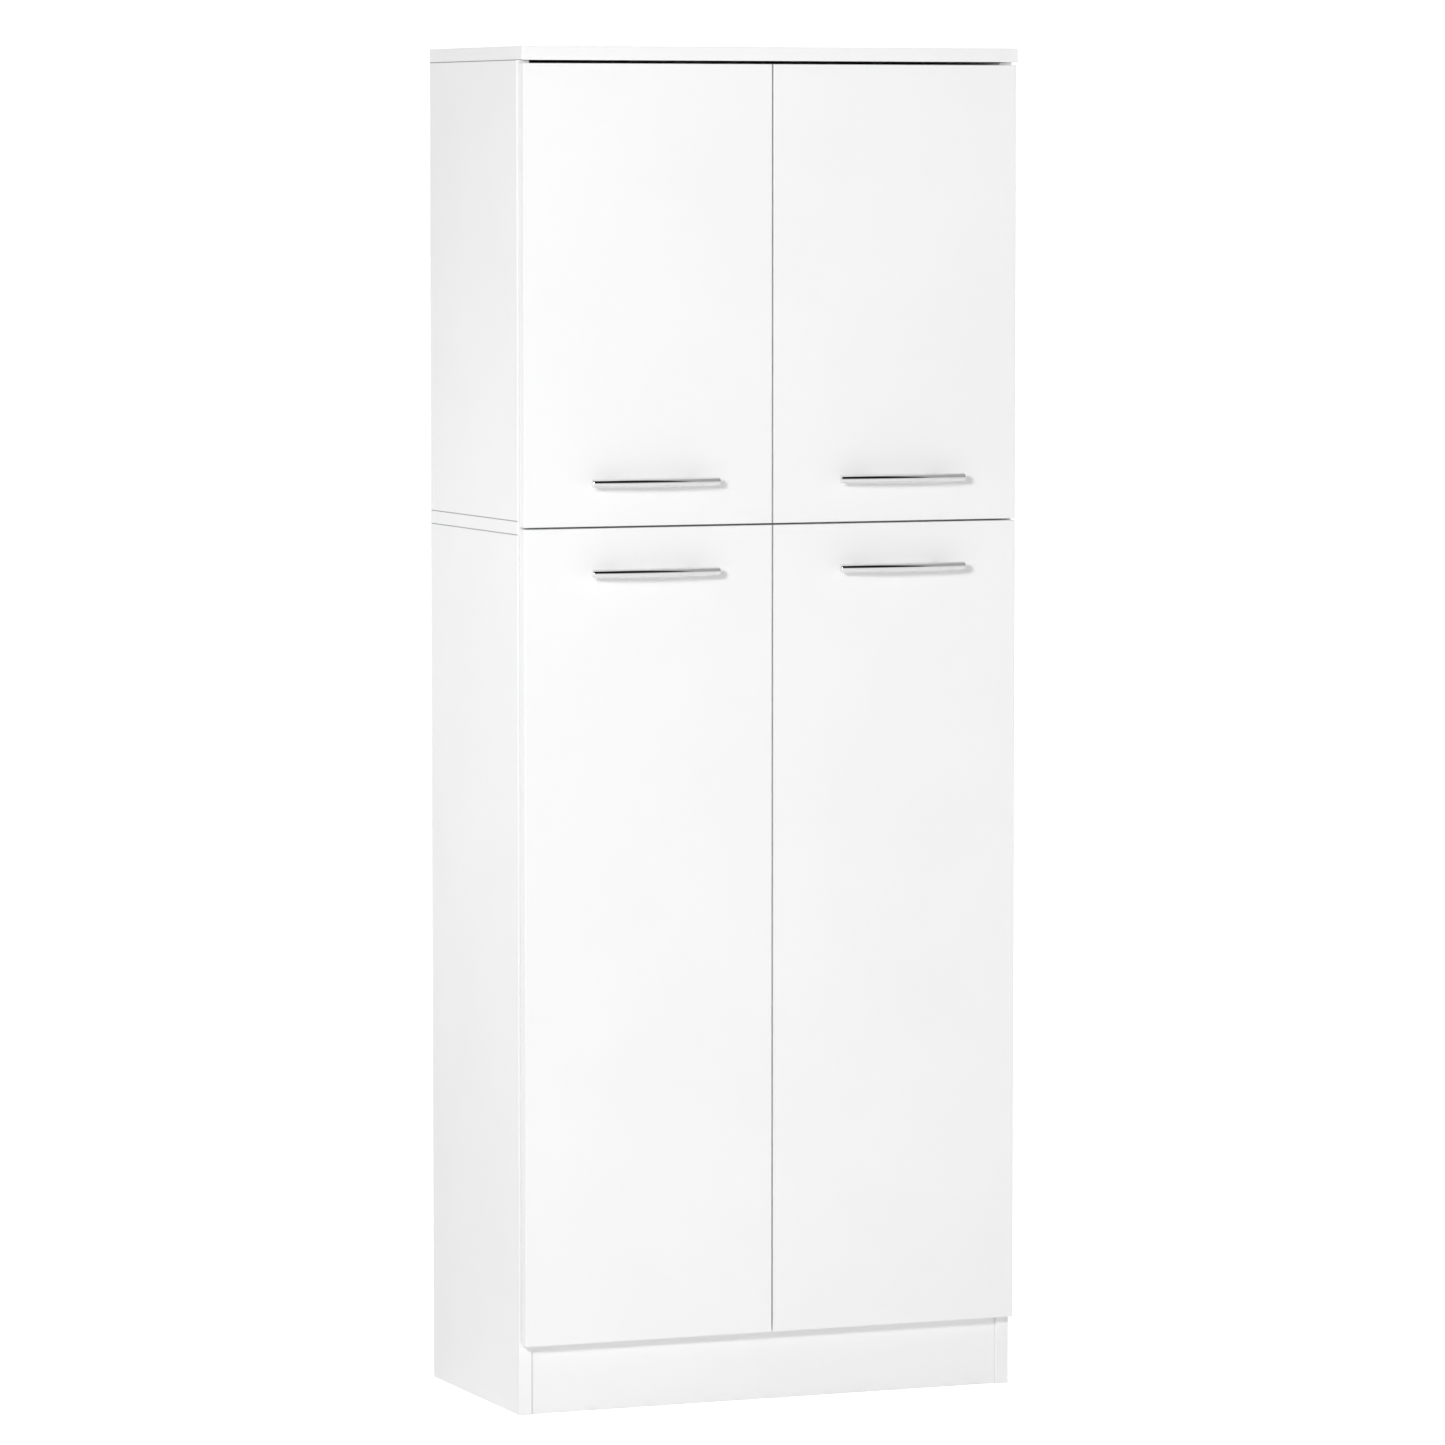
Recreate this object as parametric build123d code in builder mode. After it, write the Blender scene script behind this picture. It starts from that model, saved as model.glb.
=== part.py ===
"""Tall four-door pantry cabinet with bow handles, concealed hinges and adjustable shelves.

Frame: +Z up, doors facing -Y, origin on the floor under the middle of the bounding box.
Millimetres.
"""

import os
from math import atan2, degrees, dist

from build123d import *

# Driving dimensions of the cabinet
WIDTH = 597.0
HEIGHT = 1524.0
BODY_DEPTH = 305.0  # door face to the rear of the back panels
BOARD = 15.0
BACK_BOARD = 3.0
LOWER_SIDE_HEIGHT = 985.0
PLINTH_HEIGHT = 76.0
PLINTH_RECESS = 4.0  # behind the front edges of the sides
BACK_INSET = 2.0  # back panels stop short of the outline
BACK_SEAM = 1.0  # between the two back panels
EDGE_ROUND = 0.5

# Doors
DOOR_STANDOFF = 2.0  # door back to carcass front
DOOR_SIDE_INSET = 2.0
DOOR_CENTRE_GAP = 2.0
DOOR_MIDDLE_GAP = 2.0
DOOR_TOP_GAP = 3.5
DOOR_BOTTOM = 79.5
DOOR_ROUND = 0.8

# Handles
HANDLE_LENGTH = 151.0
HANDLE_PITCH = 96.0
HANDLE_RADIUS = 5.0
HANDLE_END_REACH = 21.0  # door face to the bar's axis at its ends
HANDLE_MIDDLE_REACH = 27.0
HANDLE_END_ROUND = 1.4
HANDLE_FROM_GAP = 50.0  # bar's axis above and below the gap between the doors
POST_RADIUS = 4.0
HANDLE_SCREW_RADIUS = 1.95
HANDLE_SCREW_ENGAGE = 11.0
HANDLE_THREAD_SPARE = 2.0
HANDLE_HOLE_RADIUS = 2.25  # through the door

# Fits
CLEARANCE = 0.1  # around pressed and screwed pieces
FINE_CLEARANCE = 0.05  # around nails, and under seated pieces
BLIND_SPARE = 0.5  # extra depth of a blind hole in a face
END_SPARE = 1.0  # extra depth of a dowel hole in an edge

# Shelves and their pins
SHELF_SIDE_GAP = 1.0
SHELF_FRONT_SETBACK = 8.0
SHELF_REAR_GAP = 2.0
PIN_PITCH = 32.0
PIN_ROW_HOLES = 5
PIN_HOLE_DEPTH = 10.0
PIN_PLUG_RADIUS = 2.45
PIN_PEG_RADIUS = 3.5
PIN_PEG_LENGTH = 9.0
PIN_SHORT = 1.0  # plug short of the bottom of its hole
PIN_LINE = 37.0  # pin and hinge-plate line behind the carcass front
PIN_LINE_REAR = 50.0  # rear pin line ahead of the carcass rear

# Knock-down fasteners
CAM_RADIUS = 7.4
CAM_DEPTH = 12.3
CAM_TO_EDGE = 34.0
CAM_SLOT_WIDTH = 1.6
CAM_SLOT_DEPTH = 2.2
CAM_MOUTH_RADIUS = 3.6  # where the bolt's head enters
CAM_CATCH = 2.5  # how far past its axis a cam is hollow
BOLT_THREAD_LENGTH = 8.0
BOLT_REACH = 35.0  # board edge to the tip of the bolt's head
BOLT_HOLE_RADIUS = 4.0  # along a board, from its edge
BOLT_PILOT_RADIUS = 3.0  # in the face that the thread bites
BOLT_THREAD_RADIUS = 2.9
BOLT_COLLAR_RADIUS = 3.6
BOLT_COLLAR = 2.0
BOLT_NECK_RADIUS = 2.2
BOLT_HEAD_RADIUS = 3.3
BOLT_HEAD = 3.5
DOWEL_RADIUS = 3.9
DOWEL_IN_FACE = 8.5
DOWEL_IN_EDGE = 16.0
FASTENER_INSET = 60.0  # first cam behind the carcass front and ahead of its rear
DOWEL_STEP = 32.0
UPPER_STEP = 16.0  # shift of the upper sides' fasteners, clear of the lower sides'
PLINTH_CAM_Z = 49.4
PLINTH_DOWEL_Z = 19.0

# Nails of the back panels
NAIL_RADIUS = 0.8
NAIL_HEAD_RADIUS = 2.2
NAIL_HEAD_THICKNESS = 0.6
NAIL_LENGTH = 16.0
NAIL_SPACING = 105.0
NAIL_ROW_MARGIN = 30.0
NAIL_COLUMN_MARGIN = 40.0
NAIL_FROM_SEAM = 3.5

# Concealed hinges, laid out in plan: "inward" runs from a side's outer face to the middle,
# "backward" from the door face to the rear. Layers are distances above and below the middle.
HINGE_FROM_END = 90.0
HINGE_PILOT_DEPTH = 12.0
WOOD_SCREW_LENGTH = 11.0
CUP_RADIUS = 17.5
CUP_DEPTH = 12.0
CUP_WALL = 0.8
CUP_FROM_EDGE = 4.0  # cup to the door's edge
CUP_CENTRE = DOOR_SIDE_INSET + CUP_FROM_EDGE + CUP_RADIUS
CUP_FLANGE = 1.0
CUP_RIM = 1.5
CUP_EAR_RADIUS = 5.0
CUP_FLANGE_START = 14.0  # the flange is cut off short of this, clear of the links
CUP_SCREW_PITCH = 45.0
CUP_SCREW_SETBACK = 9.5
ARM_OUTER_PIVOT = (29.5, 22.0)
CUP_OUTER_PIVOT = (11.5, 9.9)
ARM_INNER_PIVOT = (34.0, 8.2)
CUP_INNER_PIVOT = (15.2, 8.4)
INNER_LINK_END = (15.57, 7.34)  # middle of the open pivot's enlarged eye
OUTER_LINK_BENDS = ((27.0, 7.3), (13.0, 7.3))
LINK_HALF_WIDTH = 1.7
PIVOT_RADIUS = 1.25
PIVOT_CLEARANCE = 0.05
EYE_WALL = 1.1
OPEN_EYE_WALL = 0.7
LUG_WALL = 0.9
OPEN_PIN_RADIUS = 0.9
OPEN_EYE_RADIUS = 2.15
INNER_LINK_HALF = 1.3
INNER_CHEEK = (1.5, 3.2)
OUTER_LINK_LAYER = (3.5, 5.5)
OUTER_CHEEK = (5.8, 7.6)
CUP_LUG_LAYER = (5.7, 7.5)
PLATE_THICKNESS = 2.4
PLATE_SCREW_PITCH = 32.0
WING_HALF_WIDTH = 7.0
WING_HALF_HEIGHT = 25.0
RAIL_HALF = 5.4
RAIL_TOP = 22.0
RAIL_FRONT = 42.0
RAIL_SHORT = 2.0  # rail ends this far ahead of the arm
ARM_REAR = 84.0
ARM_TOP = 33.0
ARM_SHEET = 1.8
ARM_FALL = 6.0  # how much lower the arm's top is at its rear
ARM_FOOT = BOARD + PLATE_THICKNESS + 0.6
ARM_TOE = (27.0, 21.0)
ARM_TIP = 22.0  # backward reach of the cheeks' upper front corner
ARM_TIP_TOP = 32.4
ARM_SHOULDER = 34.0  # where the top starts to fall
ARM_HEEL = 44.0
ARM_NOSE_RADIUS = 2.9
INNER_CHEEK_HALF = 2.5
INNER_CHEEK_END = (29.8, 33.0)
BRIDGE_FRONT = 30.0
BRIDGE_TOP = 32.8
ARM_SCREWS_BACKWARD = (58.0, 74.0)
ARM_HOLE_START = 5.0  # above the arm's top
ARM_HOLE_DEPTH = 18.0
ARM_SCREW_PROUD = 0.6

# Screws: shank radius, head radius, head thickness
WOOD_SCREW = (1.7, 3.4, 1.6)
HANDLE_SCREW = (HANDLE_SCREW_RADIUS, 4.0, 2.2)
ARM_SCREW = (2.4, 4.0, 1.5)
RECESS_SHARE = 0.22  # cross slot's width in the head's radius
RECESS_DEPTH_SHARE = 0.6

# Soft dots that the doors close on
BUMPER_RADIUS = 2.5
BUMPER_THICKNESS = 1.8
BUMPER_X = 40.0

# Derived planes and levels
HANDLE_PROJECTION = HANDLE_MIDDLE_REACH + HANDLE_RADIUS
REAR_Y = (BODY_DEPTH + HANDLE_PROJECTION) / 2
DOOR_FACE_Y = REAR_Y - BODY_DEPTH
DOOR_BACK_Y = DOOR_FACE_Y + BOARD
CARCASS_FRONT_Y = DOOR_BACK_Y + DOOR_STANDOFF
CARCASS_REAR_Y = REAR_Y - BACK_BOARD
HALF_WIDTH = WIDTH / 2
INNER_X = HALF_WIDTH - BOARD
MIDDLE_BOTTOM = LOWER_SIDE_HEIGHT
MIDDLE_TOP = MIDDLE_BOTTOM + BOARD
UPPER_SIDE_TOP = HEIGHT - BOARD
BOTTOM_TOP = PLINTH_HEIGHT + BOARD
DOOR_GAP_LEVEL = (MIDDLE_BOTTOM + MIDDLE_TOP) / 2
LOWER_DOOR_TOP = DOOR_GAP_LEVEL - DOOR_MIDDLE_GAP / 2
UPPER_DOOR_BOTTOM = DOOR_GAP_LEVEL + DOOR_MIDDLE_GAP / 2
UPPER_DOOR_TOP = UPPER_SIDE_TOP - DOOR_TOP_GAP

PIN_FRONT_Y = CARCASS_FRONT_Y + PIN_LINE
PIN_REAR_Y = CARCASS_REAR_Y - PIN_LINE_REAR
LOWER_SPACE = MIDDLE_BOTTOM - BOTTOM_TOP
SHELVES = {
    "upper_shelf": (MIDDLE_TOP + UPPER_SIDE_TOP) / 2,
    "lower_shelf_high": BOTTOM_TOP + LOWER_SPACE * 2 / 3,
    "lower_shelf_low": BOTTOM_TOP + LOWER_SPACE / 3,
}

# Each door: side of its hinges (-1 left, +1 right), bottom, top and handle level
DOORS = {
    "upper_left": (-1, UPPER_DOOR_BOTTOM, UPPER_DOOR_TOP, DOOR_GAP_LEVEL + HANDLE_FROM_GAP),
    "upper_right": (1, UPPER_DOOR_BOTTOM, UPPER_DOOR_TOP, DOOR_GAP_LEVEL + HANDLE_FROM_GAP),
    "lower_left": (-1, DOOR_BOTTOM, LOWER_DOOR_TOP, DOOR_GAP_LEVEL - HANDLE_FROM_GAP),
    "lower_right": (1, DOOR_BOTTOM, LOWER_DOOR_TOP, DOOR_GAP_LEVEL - HANDLE_FROM_GAP),
}


def save(builder, name):
    """Labels a finished piece and writes its file."""
    builder.part.label = name
    export_step(builder.part, f"parts/{name}.step")


def slab(x_range, y_range, z_range, rounding):
    """Adds a board to the current piece, its edges eased."""
    ranges = (x_range, y_range, z_range)
    middle = tuple((low + high) / 2 for low, high in ranges)
    with Locations(middle):
        Box(*(high - low for low, high in ranges))
    if rounding:
        fillet(edges(), rounding)


def facing_front(y):
    """Plane at a depth, seen from the front: its points are X and Z, its normal runs forward."""
    return Plane(origin=(0, y, 0), x_dir=(1, 0, 0), z_dir=(0, -1, 0))


def bore(plane, points, radius, depth):
    """Sinks blind holes from a plane; a negative depth goes against its normal."""
    with BuildSketch(plane) as mouths:
        with Locations(*points):
            Circle(radius)
    extrude(mouths.sketch, amount=depth, mode=Mode.SUBTRACT)


def rod(start, direction, steps):
    """Adds a stepped rod along a direction; each step is a radius, a start and an end."""
    for radius, low, high in steps:
        axis = Plane(origin=start, z_dir=direction)
        with BuildSketch(axis.offset(low)) as section:
            Circle(radius)
        extrude(section.sketch, amount=high - low)


def screw(seat, direction, sizes, length):
    """Adds a pan-head screw whose head sits on a seat, with a cross recess."""
    shank_radius, head_radius, head_thickness = sizes
    rod(seat, direction, [(head_radius, -head_thickness, 0), (shank_radius, 0, length)])
    crown = Plane(origin=seat, z_dir=direction).offset(-head_thickness)
    with BuildSketch(crown) as recess:
        Rectangle(head_radius, head_radius * RECESS_SHARE)
        Rectangle(head_radius * RECESS_SHARE, head_radius)
    extrude(recess.sketch, amount=head_thickness * RECESS_DEPTH_SHARE, mode=Mode.SUBTRACT)


def plan(side, inward, backward):
    """Point in plan, from the side's outer face and the door face."""
    return (side * (HALF_WIDTH - inward), DOOR_FACE_Y + backward)


def strap(start, end, half_width):
    """Adds a round-ended strap between two plan points to the current sketch."""
    middle = ((start[0] + end[0]) / 2, (start[1] + end[1]) / 2)
    angle = degrees(atan2(end[1] - start[1], end[0] - start[0]))
    with Locations(middle):
        SlotCenterToCenter(dist(start, end), 2 * half_width, rotation=angle)


def hinge_levels(bottom, top):
    """Heights of a door's two hinges."""
    return (bottom + HINGE_FROM_END, top - HINGE_FROM_END)


def both_layers(level, layer):
    """Sketch plane and thickness of a layer below and above the middle of a hinge."""
    low, high = layer
    return [(Plane.XY.offset(level - high), high - low), (Plane.XY.offset(level + low), high - low)]


# Fastener layout: depths of cams and dowels along the sides
def fastener_rows(shift):
    """Cam and dowel positions along Y, for one level of the carcass."""
    front = CARCASS_FRONT_Y + FASTENER_INSET + shift
    rear = CARCASS_REAR_Y - FASTENER_INSET - shift
    return (front, rear), (front + DOWEL_STEP, rear - DOWEL_STEP)


LOWER_CAMS, LOWER_DOWELS = fastener_rows(0)
UPPER_CAMS, UPPER_DOWELS = fastener_rows(UPPER_STEP)
PLINTH_Y = CARCASS_FRONT_Y + PLINTH_RECESS + BOARD / 2
SIDE_MIDDLE_X = HALF_WIDTH - BOARD / 2
BOTTOM_MIDDLE_Z = PLINTH_HEIGHT + BOARD / 2


def drill_side_end(x, z_end, upward, cam_rows, dowel_rows):
    """Bolt and dowel holes in the end of a side, and the cam housings in its inner face."""
    end = Plane.XY.offset(z_end)
    sign = 1 if upward else -1
    bore(end, [(x, y) for y in cam_rows], BOLT_HOLE_RADIUS, sign * CAM_TO_EDGE)
    dowel_depth = DOWEL_IN_EDGE + END_SPARE
    bore(end, [(x, y) for y in dowel_rows], DOWEL_RADIUS + CLEARANCE, sign * dowel_depth)
    side = 1 if x > 0 else -1
    cams = [(y, z_end + sign * CAM_TO_EDGE) for y in cam_rows]
    inner_face = Plane.YZ.offset(side * INNER_X)
    bore(inner_face, cams, CAM_RADIUS + CLEARANCE, side * (CAM_DEPTH + CLEARANCE))


def drill_panel_face(z_face, upward, cam_rows, dowel_rows):
    """Bolt and dowel holes in a horizontal panel, over both sides."""
    face = Plane.XY.offset(z_face)
    sign = 1 if upward else -1
    bolts = [(side * SIDE_MIDDLE_X, y) for side in (-1, 1) for y in cam_rows]
    dowels = [(side * SIDE_MIDDLE_X, y) for side in (-1, 1) for y in dowel_rows]
    bore(face, bolts, BOLT_PILOT_RADIUS, sign * (BOLT_THREAD_LENGTH + BLIND_SPARE))
    bore(face, dowels, DOWEL_RADIUS + CLEARANCE, sign * (DOWEL_IN_FACE + BLIND_SPARE))


def pin_heights(shelf_level):
    """Heights of the pin holes around a shelf's underside."""
    pin = shelf_level - BOARD / 2 - PIN_PEG_RADIUS - FINE_CLEARANCE
    first = -(PIN_ROW_HOLES // 2)
    return [pin + PIN_PITCH * (first + index) for index in range(PIN_ROW_HOLES)]


def drill_side_face(side, shelf_levels, hinge_heights):
    """Shelf-pin rows and hinge-plate pilot holes in the inner face of a side."""
    inner_face = Plane.YZ.offset(side * INNER_X)
    heights = [z for level in shelf_levels for z in pin_heights(level)]
    pins = [(y, z) for y in (PIN_FRONT_Y, PIN_REAR_Y) for z in heights]
    bore(inner_face, pins, PIN_PLUG_RADIUS + CLEARANCE, side * PIN_HOLE_DEPTH)
    offsets = (-PLATE_SCREW_PITCH / 2, PLATE_SCREW_PITCH / 2)
    pilots = [(PIN_FRONT_Y, z + offset) for z in hinge_heights for offset in offsets]
    bore(inner_face, pilots, WOOD_SCREW[0] + CLEARANCE, side * HINGE_PILOT_DEPTH)


# Nails run along the rear edges of every board the back panels cover
def evenly(low, high, margin):
    """Positions from margin to margin, no further apart than the nail spacing."""
    span = high - low - 2 * margin
    count = int(span // NAIL_SPACING) + 1
    return [low + margin + span * index / count for index in range(count + 1)]


BACK_SPANS = {
    "lower_back_panel": (PLINTH_HEIGHT + BACK_INSET, DOOR_GAP_LEVEL - BACK_SEAM / 2),
    "upper_back_panel": (DOOR_GAP_LEVEL + BACK_SEAM / 2, HEIGHT - BACK_INSET),
}
NAIL_ROW_LEVELS = {
    "lower_back_panel": (BOTTOM_MIDDLE_Z, DOOR_GAP_LEVEL - NAIL_FROM_SEAM),
    "upper_back_panel": (DOOR_GAP_LEVEL + NAIL_FROM_SEAM, HEIGHT - BOARD / 2),
}


def nail_points(panel):
    """Nail positions of one back panel, as X and Z pairs."""
    low, high = BACK_SPANS[panel]
    across = evenly(-INNER_X, INNER_X, NAIL_ROW_MARGIN)
    rows = [(x, z) for z in NAIL_ROW_LEVELS[panel] for x in across]
    upward = evenly(low, high, NAIL_COLUMN_MARGIN)
    columns = [(side * SIDE_MIDDLE_X, z) for side in (-1, 1) for z in upward]
    return rows + columns


ALL_NAILS = [point for panel in BACK_SPANS for point in nail_points(panel)]


def drill_nail_holes(x_range, z_range):
    """Nail holes in the rear edge of the board that covers this stretch."""
    inside = []
    for x, z in ALL_NAILS:
        if x_range[0] < x < x_range[1] and z_range[0] < z < z_range[1]:
            inside.append((x, z))
    bore(facing_front(CARCASS_REAR_Y), inside, NAIL_RADIUS + FINE_CLEARANCE, NAIL_LENGTH)


os.makedirs("parts", exist_ok=True)

# Carcass: horizontal panels
FULL_X = (-HALF_WIDTH, HALF_WIDTH)
BETWEEN_X = (-INNER_X, INNER_X)
CARCASS_Y = (CARCASS_FRONT_Y, CARCASS_REAR_Y)

with BuildPart() as top_panel:
    slab(FULL_X, (DOOR_FACE_Y, CARCASS_REAR_Y), (UPPER_SIDE_TOP, HEIGHT), EDGE_ROUND)
    drill_panel_face(UPPER_SIDE_TOP, True, UPPER_CAMS, UPPER_DOWELS)
    drill_nail_holes(FULL_X, (UPPER_SIDE_TOP, HEIGHT))
save(top_panel, "top_panel")

with BuildPart() as middle_panel:
    slab(FULL_X, CARCASS_Y, (MIDDLE_BOTTOM, MIDDLE_TOP), EDGE_ROUND)
    drill_panel_face(MIDDLE_BOTTOM, True, LOWER_CAMS, LOWER_DOWELS)
    drill_panel_face(MIDDLE_TOP, False, UPPER_CAMS, UPPER_DOWELS)
    drill_nail_holes(FULL_X, (MIDDLE_BOTTOM, MIDDLE_TOP))
save(middle_panel, "middle_panel")

with BuildPart() as bottom_panel:
    slab(BETWEEN_X, CARCASS_Y, (PLINTH_HEIGHT, BOTTOM_TOP), EDGE_ROUND)
    for side in (-1, 1):
        end = Plane.YZ.offset(side * INNER_X)
        bolts = [(y, BOTTOM_MIDDLE_Z) for y in LOWER_CAMS]
        dowels = [(y, BOTTOM_MIDDLE_Z) for y in LOWER_DOWELS]
        bore(end, bolts, BOLT_HOLE_RADIUS, -side * CAM_TO_EDGE)
        bore(end, dowels, DOWEL_RADIUS + CLEARANCE, -side * (DOWEL_IN_EDGE + END_SPARE))
        cams = [(side * (INNER_X - CAM_TO_EDGE), y) for y in LOWER_CAMS]
        bore(Plane.XY.offset(PLINTH_HEIGHT), cams, CAM_RADIUS + CLEARANCE, CAM_DEPTH + CLEARANCE)
    drill_nail_holes(BETWEEN_X, (PLINTH_HEIGHT, BOTTOM_TOP))
save(bottom_panel, "bottom_panel")

# Plinth, with its cams on the hidden rear face
PLINTH_REAR_Y = PLINTH_Y + BOARD / 2
with BuildPart() as plinth_board:
    slab(BETWEEN_X, (PLINTH_Y - BOARD / 2, PLINTH_REAR_Y), (0, PLINTH_HEIGHT), EDGE_ROUND)
    rear_face = facing_front(PLINTH_REAR_Y)
    dowel_depth = DOWEL_IN_EDGE + END_SPARE
    for side in (-1, 1):
        end = Plane.YZ.offset(side * INNER_X)
        bore(end, [(PLINTH_Y, PLINTH_CAM_Z)], BOLT_HOLE_RADIUS, -side * CAM_TO_EDGE)
        bore(end, [(PLINTH_Y, PLINTH_DOWEL_Z)], DOWEL_RADIUS + CLEARANCE, -side * dowel_depth)
        cam = [(side * (INNER_X - CAM_TO_EDGE), PLINTH_CAM_Z)]
        bore(rear_face, cam, CAM_RADIUS + CLEARANCE, CAM_DEPTH + CLEARANCE)
save(plinth_board, "plinth_board")

# Carcass: sides
LOWER_HINGES = hinge_levels(DOOR_BOTTOM, LOWER_DOOR_TOP)
UPPER_HINGES = hinge_levels(UPPER_DOOR_BOTTOM, UPPER_DOOR_TOP)
LOWER_SHELF_LEVELS = (SHELVES["lower_shelf_low"], SHELVES["lower_shelf_high"])

for side, hand in ((-1, "left"), (1, "right")):
    side_x = sorted((side * INNER_X, side * HALF_WIDTH))
    inner_face = Plane.YZ.offset(side * INNER_X)

    with BuildPart() as lower_side:
        slab(side_x, CARCASS_Y, (0, LOWER_SIDE_HEIGHT), EDGE_ROUND)
        drill_side_end(side * SIDE_MIDDLE_X, LOWER_SIDE_HEIGHT, False, LOWER_CAMS, LOWER_DOWELS)
        drill_side_face(side, LOWER_SHELF_LEVELS, LOWER_HINGES)
        bolts = [(y, BOTTOM_MIDDLE_Z) for y in LOWER_CAMS] + [(PLINTH_Y, PLINTH_CAM_Z)]
        dowels = [(y, BOTTOM_MIDDLE_Z) for y in LOWER_DOWELS] + [(PLINTH_Y, PLINTH_DOWEL_Z)]
        bore(inner_face, bolts, BOLT_PILOT_RADIUS, side * (BOLT_THREAD_LENGTH + BLIND_SPARE))
        bore(inner_face, dowels, DOWEL_RADIUS + CLEARANCE, side * (DOWEL_IN_FACE + BLIND_SPARE))
        drill_nail_holes(side_x, (0, LOWER_SIDE_HEIGHT))
    save(lower_side, f"lower_{hand}_side")

    with BuildPart() as upper_side:
        slab(side_x, CARCASS_Y, (MIDDLE_TOP, UPPER_SIDE_TOP), EDGE_ROUND)
        drill_side_end(side * SIDE_MIDDLE_X, MIDDLE_TOP, True, UPPER_CAMS, UPPER_DOWELS)
        drill_side_end(side * SIDE_MIDDLE_X, UPPER_SIDE_TOP, False, UPPER_CAMS, UPPER_DOWELS)
        drill_side_face(side, (SHELVES["upper_shelf"],), UPPER_HINGES)
        drill_nail_holes(side_x, (MIDDLE_TOP, UPPER_SIDE_TOP))
    save(upper_side, f"upper_{hand}_side")

# Back panels
for name, (low, high) in BACK_SPANS.items():
    with BuildPart() as back_panel:
        back_x = (-HALF_WIDTH + BACK_INSET, HALF_WIDTH - BACK_INSET)
        slab(back_x, (CARCASS_REAR_Y, REAR_Y), (low, high), 0)
        nails = nail_points(name)
        bore(facing_front(REAR_Y), nails, NAIL_RADIUS + FINE_CLEARANCE, BACK_BOARD)
        bore(facing_front(REAR_Y), nails, NAIL_HEAD_RADIUS + FINE_CLEARANCE, NAIL_HEAD_THICKNESS)
    save(back_panel, name)

with BuildPart() as back_panel_nails:
    head = (NAIL_HEAD_RADIUS, 0, NAIL_HEAD_THICKNESS)
    shank = (NAIL_RADIUS, NAIL_HEAD_THICKNESS, NAIL_LENGTH)
    for x, z in ALL_NAILS:
        rod((x, REAR_Y, z), (0, -1, 0), [head, shank])
save(back_panel_nails, "back_panel_nails")

# Shelves and pins
SHELF_X = INNER_X - SHELF_SIDE_GAP
for name, level in SHELVES.items():
    with BuildPart() as shelf:
        shelf_y = (CARCASS_FRONT_Y + SHELF_FRONT_SETBACK, CARCASS_REAR_Y - SHELF_REAR_GAP)
        slab((-SHELF_X, SHELF_X), shelf_y, (level - BOARD / 2, level + BOARD / 2), EDGE_ROUND)
    save(shelf, name)

with BuildPart() as shelf_pins:
    peg = (PIN_PEG_RADIUS, FINE_CLEARANCE, PIN_PEG_LENGTH)
    plug = (PIN_PLUG_RADIUS, PIN_SHORT - PIN_HOLE_DEPTH, FINE_CLEARANCE)
    for level in SHELVES.values():
        pin_z = pin_heights(level)[PIN_ROW_HOLES // 2]
        for side in (-1, 1):
            for y in (PIN_FRONT_Y, PIN_REAR_Y):
                rod((side * INNER_X, y, pin_z), (-side, 0, 0), [peg, plug])
save(shelf_pins, "shelf_pins")

# Cam fasteners: mouth of each cam, direction of its axis into the board, and towards its bolt
CAMS = []
for side in (-1, 1):
    inner_x = side * INNER_X
    for y in LOWER_CAMS:
        CAMS.append(((inner_x, y, MIDDLE_BOTTOM - CAM_TO_EDGE), (side, 0, 0), (0, 0, 1)))
        CAMS.append(((side * (INNER_X - CAM_TO_EDGE), y, PLINTH_HEIGHT), (0, 0, 1), (side, 0, 0)))
    for y in UPPER_CAMS:
        CAMS.append(((inner_x, y, MIDDLE_TOP + CAM_TO_EDGE), (side, 0, 0), (0, 0, -1)))
        CAMS.append(((inner_x, y, UPPER_SIDE_TOP - CAM_TO_EDGE), (side, 0, 0), (0, 0, 1)))
    plinth_mouth = (side * (INNER_X - CAM_TO_EDGE), PLINTH_REAR_Y, PLINTH_CAM_Z)
    CAMS.append((plinth_mouth, (0, -1, 0), (side, 0, 0)))

with BuildPart() as cam_locks:
    for mouth, axis, towards in CAMS:
        face = Plane(origin=mouth, x_dir=towards, z_dir=axis)
        with BuildSketch(face):
            Circle(CAM_RADIUS)
        extrude(amount=CAM_DEPTH)
        with BuildSketch(face):
            Rectangle(CAM_RADIUS, CAM_SLOT_WIDTH)
            Rectangle(CAM_SLOT_WIDTH, CAM_RADIUS)
        extrude(amount=CAM_SLOT_DEPTH, mode=Mode.SUBTRACT)
        bolt_axis = Vector(mouth) + Vector(axis) * (BOARD / 2)
        behind = bolt_axis - Vector(towards) * CAM_CATCH
        with BuildSketch(Plane(origin=behind, z_dir=towards)):
            Circle(CAM_MOUTH_RADIUS)
        extrude(amount=CAM_CATCH + 2 * CAM_RADIUS, mode=Mode.SUBTRACT)
save(cam_locks, "cam_locks")

with BuildPart() as cam_bolts:
    for mouth, axis, towards in CAMS:
        edge = Vector(mouth) + Vector(axis) * (BOARD / 2) + Vector(towards) * CAM_TO_EDGE
        steps = [
            (BOLT_THREAD_RADIUS, -BOLT_THREAD_LENGTH, 0),
            (BOLT_COLLAR_RADIUS, 0, BOLT_COLLAR),
            (BOLT_NECK_RADIUS, BOLT_COLLAR, BOLT_REACH - BOLT_HEAD),
            (BOLT_HEAD_RADIUS, BOLT_REACH - BOLT_HEAD, BOLT_REACH),
        ]
        rod(edge, Vector(towards) * -1, steps)
save(cam_bolts, "cam_bolts")

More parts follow.
